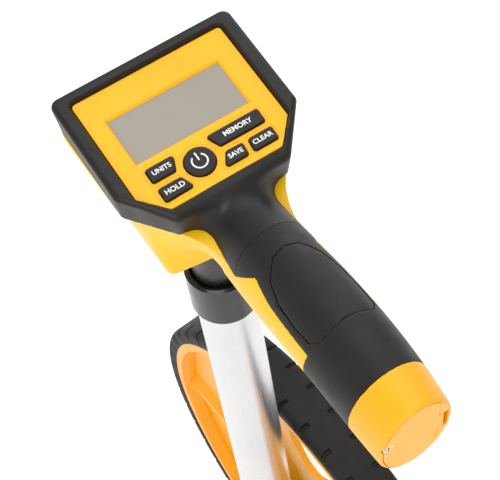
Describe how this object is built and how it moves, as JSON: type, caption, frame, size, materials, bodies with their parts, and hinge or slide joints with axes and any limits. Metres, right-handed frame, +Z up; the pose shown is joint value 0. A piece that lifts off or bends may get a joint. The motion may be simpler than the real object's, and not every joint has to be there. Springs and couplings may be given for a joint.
{
  "type": "measuring wheel",
  "caption": "Digital distance-measuring wheel: rubber-tyred spoked wheel on a telescopic pole with a pistol-grip display head, keypad and fold-out stand.",
  "frame": {"origin": "on the floor under the pole's axis, where the object stands on its tyre and its fold-out stand", "axes": "+X the rolling direction, away from the user; +Y to the user's left; +Z up the pole"},
  "size_m": [0.3184, 0.1165, 0.6217],
  "materials": {
    "rim_plastic": "moulded yellow-orange plastic, satin",
    "tyre_rubber": "black tread rubber, matt",
    "bearing_steel": "ground steel races and shields",
    "magnet_nickel": "nickel-plated",
    "black_plastic": "fine-grained black plastic",
    "zinc_steel": "zinc-plated steel",
    "circuit_green": "solder-masked board",
    "tube_aluminium": "satin-anodised aluminium",
    "tube_black": "black-anodised aluminium",
    "collar_plastic": "glossy black plastic",
    "slide_plastic": "natural low-friction plastic",
    "stand_wire": "plated spring-steel wire",
    "rubber_black": "matt moulded rubber",
    "housing_yellow": "satin yellow plastic",
    "panel_yellow": "printed yellow fascia",
    "display_glass": "clear window",
    "lcd_grey": "reflective liquid-crystal display",
    "cap_yellow": "satin yellow-orange plastic",
    "cell_jacket": "printed cell sleeve",
    "contact_nickel": "nickel-plated spring steel",
    "screw_steel": "bright plated screw"
  },
  "bodies": {
    "pole": {"hub_bracket": "black_plastic", "axle": "zinc_steel", "axle_spacer": "zinc_steel", "axle_washer": "zinc_steel", "axle_nut": "zinc_steel", "sensor_cover": "black_plastic", "sensor_board": "circuit_green", "tube_screws": "screw_steel", "outer_tube": "tube_aluminium", "tube_collar": "collar_plastic", "guide_bush": "slide_plastic"},
    "wheel": {"wheel_rim": "rim_plastic", "tyre": "tyre_rubber", "bearing_left": "bearing_steel", "bearing_right": "bearing_steel", "encoder_magnets": "magnet_nickel", "hub_cap": "black_plastic"},
    "kickstand": {"kickstand_frame": "stand_wire", "kickstand_feet": "rubber_black"},
    "head": {"inner_tube": "tube_black", "inner_tube_bush": "slide_plastic", "lower_housing": "housing_yellow", "head_shell": "black_plastic", "grip_cover": "rubber_black", "grip_pad": "rubber_black", "fascia_panel": "panel_yellow", "panel_gasket": "rubber_black", "lcd_window": "display_glass", "lcd_module": "lcd_grey", "circuit_board": "circuit_green", "keypad_mat": "rubber_black", "board_screws": "screw_steel", "housing_screws": "screw_steel", "end_cap": "cap_yellow", "batteries": "cell_jacket", "battery_springs": "contact_nickel"},
    "battery_door": {"battery_door": "cap_yellow", "door_contacts": "contact_nickel", "door_screw": "screw_steel"},
    "units_button": {"button_units": "black_plastic"},
    "hold_button": {"button_hold": "black_plastic"},
    "power_button": {"button_power": "black_plastic"},
    "memory_button": {"button_memory": "black_plastic"},
    "save_button": {"button_save": "black_plastic"},
    "clear_button": {"button_clear": "black_plastic"}
  },
  "joints": [
    {"name": "wheel_spin", "type": "hinge", "parent": "pole", "child": "wheel", "pos_m": [0, -0.0375, 0.15915], "axis": [0, 1, 0], "continuous": true},
    {"name": "pole_slide", "type": "slide", "parent": "pole", "child": "head", "axis": [0, 0, 1], "range_m": [0, 0.25]},
    {"name": "kickstand_fold", "type": "hinge", "parent": "pole", "child": "kickstand", "pos_m": [0, 0.022, 0.13515], "axis": [1, 0, 0], "range_deg": [0, 160]},
    {"name": "battery_door_hinge", "type": "hinge", "parent": "head", "child": "battery_door", "pos_m": [-0.15355, 0.00104, 0.59116], "axis": [-0.0886, 0.0074, 0.996], "range_deg": [0, 110]},
    {"name": "units_press", "type": "slide", "parent": "head", "child": "units_button", "axis": [0.1318, -0.011, -0.9912], "range_m": [0, 0.0008], "stiffness_N_per_m": 1000},
    {"name": "hold_press", "type": "slide", "parent": "head", "child": "hold_button", "axis": [0.1318, -0.011, -0.9912], "range_m": [0, 0.0008], "stiffness_N_per_m": 1000},
    {"name": "power_press", "type": "slide", "parent": "head", "child": "power_button", "axis": [0.1318, -0.011, -0.9912], "range_m": [0, 0.0008], "stiffness_N_per_m": 1000},
    {"name": "memory_press", "type": "slide", "parent": "head", "child": "memory_button", "axis": [0.1318, -0.011, -0.9912], "range_m": [0, 0.0008], "stiffness_N_per_m": 1000},
    {"name": "save_press", "type": "slide", "parent": "head", "child": "save_button", "axis": [0.1318, -0.011, -0.9912], "range_m": [0, 0.0008], "stiffness_N_per_m": 1000},
    {"name": "clear_press", "type": "slide", "parent": "head", "child": "clear_button", "axis": [0.1318, -0.011, -0.9912], "range_m": [0, 0.0008], "stiffness_N_per_m": 1000}
  ]
}
